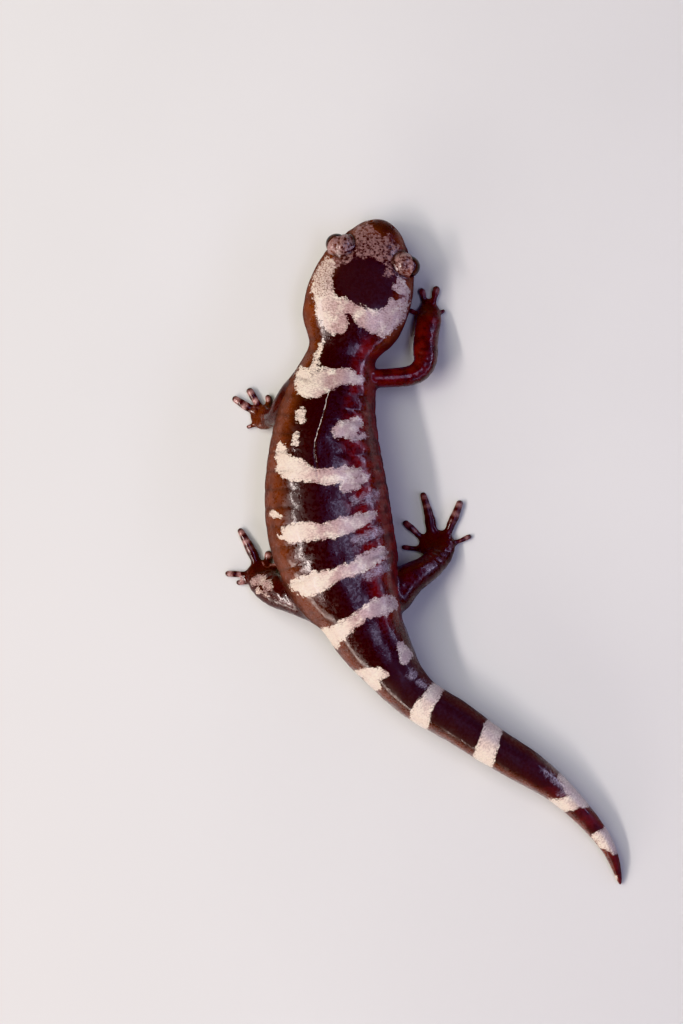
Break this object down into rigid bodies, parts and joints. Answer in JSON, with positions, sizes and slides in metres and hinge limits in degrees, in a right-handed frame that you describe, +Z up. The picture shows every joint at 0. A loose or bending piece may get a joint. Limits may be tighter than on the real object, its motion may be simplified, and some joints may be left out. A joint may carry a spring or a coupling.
{
  "type": "salamander model",
  "caption": "Life-size still model of a stout dark salamander with pale saddle bands, resting flat with its tail swung to its right.",
  "frame": {"origin": "middle of the bounding box in plan, at floor level under the belly", "axes": "+Y towards the head end, the way the trunk lies, +X towards the animal's right, +Z up from the floor"},
  "size_m": [0.0501, 0.0838, 0.0102],
  "materials": {
    "skin": "moist and glossy, with pale grey bands",
    "eye": "polished, wet"
  },
  "bodies": {
    "root": {"head": "skin", "neck": "skin", "torso": "skin", "hips": "skin", "tail_root": "skin", "tail_middle": "skin", "tail_end": "skin", "upper_arm_right": "skin", "forearm_right": "skin", "hand_right": "skin", "upper_arm_left": "skin", "forearm_left": "skin", "hand_left": "skin", "thigh_right": "skin", "shank_right": "skin", "foot_right": "skin", "thigh_left": "skin", "shank_left": "skin", "foot_left": "skin", "eye_left": "eye", "eye_right": "eye"}
  },
  "joints": []
}
